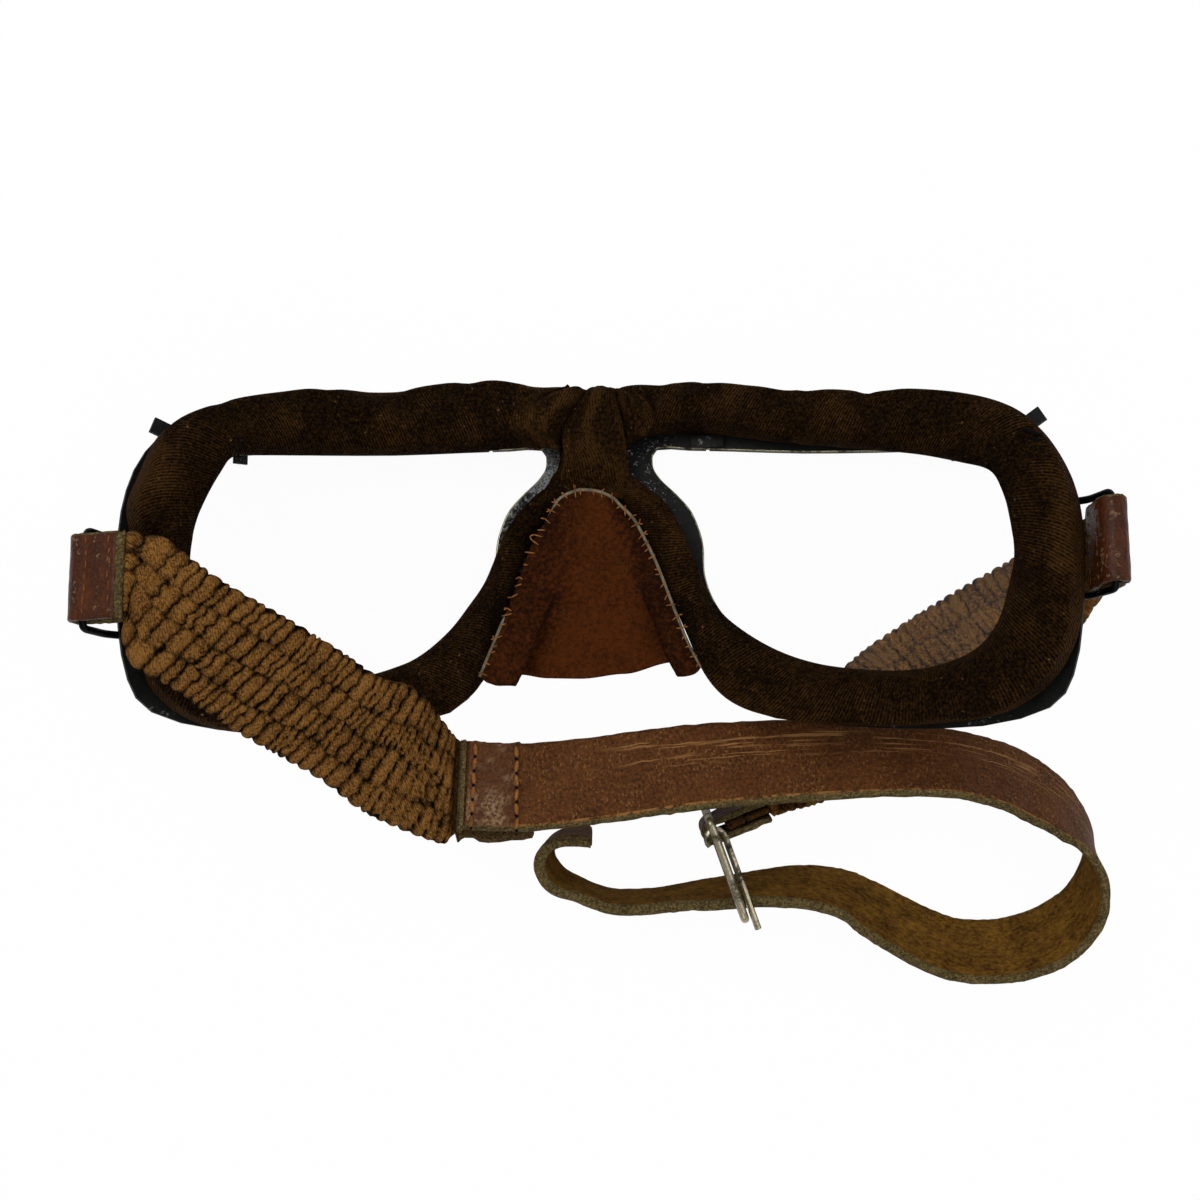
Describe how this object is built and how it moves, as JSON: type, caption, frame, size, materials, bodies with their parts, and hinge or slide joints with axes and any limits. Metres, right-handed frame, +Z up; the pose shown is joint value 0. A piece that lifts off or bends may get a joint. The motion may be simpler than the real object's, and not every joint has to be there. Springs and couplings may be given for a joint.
{
  "type": "flying goggles",
  "caption": "Flying goggles laid lens side down: curved metal frame, hinged lens gates, velveteen face pads, suede nose flap, ruched elastics and a coiled leather strap with its buckle.",
  "frame": {"origin": "centre of the bounding box's footprint, on the table", "axes": "+Z up from the lens side towards the wearer's face, +Y towards the brow, +X towards the wide end of the strap's loop"},
  "size_m": [0.2094, 0.1276, 0.055],
  "materials": {
    "black_paint": "black paint worn to bare metal at the edges",
    "velveteen": "dark brown cut pile",
    "foam": "felt padding",
    "suede": "rust brown suede",
    "strap_leather": "brown strap leather with a raw edge",
    "dark_leather": "glossy dark red brown leather",
    "elastic_cloth": "golden brown ruched cloth over elastic",
    "nickel": "aged nickel plating",
    "brass": "dull brass",
    "lens_glass": "clear curved glass"
  },
  "bodies": {
    "frame": {"frame_plate": "black_paint", "bridge_plate": "black_paint", "rim_left": "black_paint", "rim_right": "black_paint", "lens_left": "lens_glass", "lens_right": "lens_glass", "gate_pin_left": "brass", "gate_pin_right": "brass", "gate_stop_left": "brass", "gate_stop_right": "brass", "bail_left": "black_paint", "bail_right": "black_paint", "pad_cover_left": "velveteen", "pad_cover_right": "velveteen", "pad_core_left": "foam", "pad_core_right": "foam", "bridge_cover": "velveteen", "nose_flap": "suede", "leather_strap": "strap_leather", "strap_backing": "dark_leather", "elastic_left": "elastic_cloth", "elastic_right": "elastic_cloth"},
    "left_gate": {"gate_left": "black_paint"},
    "right_gate": {"gate_right": "black_paint"},
    "left_end_tab": {"end_tab_left": "dark_leather"},
    "right_end_tab": {"end_tab_right": "dark_leather"},
    "tab_on_strap": {"buckle_tab": "dark_leather"},
    "loop": {"buckle_frame": "nickel"},
    "prong": {"buckle_tongue": "nickel"}
  },
  "joints": [
    {"name": "left_gate_hinge", "type": "hinge", "parent": "frame", "child": "left_gate", "pos_m": [-0.01885, 0.05665, 0.00279], "axis": [0.0945, 0.3081, 0.9467], "range_deg": [-18, 0]},
    {"name": "right_gate_hinge", "type": "hinge", "parent": "frame", "child": "right_gate", "pos_m": [0.01261, 0.05665, 0.00279], "axis": [-0.0945, 0.3081, 0.9467], "range_deg": [0, 18]},
    {"name": "left_end_tab_swivel", "type": "hinge", "parent": "frame", "child": "left_end_tab", "pos_m": [-0.10199, 0.02379, 0.04711], "axis": [0, 0.9781, -0.2079], "range_deg": [-30, 0], "deforming": ["elastic_left"]},
    {"name": "right_end_tab_swivel", "type": "hinge", "parent": "frame", "child": "right_end_tab", "pos_m": [0.09575, 0.03035, 0.04572], "axis": [0, 0.9781, -0.2079], "range_deg": [-40, 0], "deforming": ["elastic_right"]},
    {"name": "buckle_slide", "type": "slide", "parent": "frame", "child": "tab_on_strap", "axis": [-0.9822, -0.1877, 0], "range_m": [-0.003, 0.003], "deforming": ["elastic_right"]},
    {"name": "buckle_turn", "type": "hinge", "parent": "tab_on_strap", "child": "loop", "pos_m": [0.02061, -0.0312, 0.0124], "axis": [0, 0, 1], "range_deg": [-8, 8]},
    {"name": "prong_turn", "type": "hinge", "parent": "loop", "child": "prong", "pos_m": [0.02061, -0.0312, 0.022], "axis": [0, 0, 1], "range_deg": [0, 60]}
  ]
}
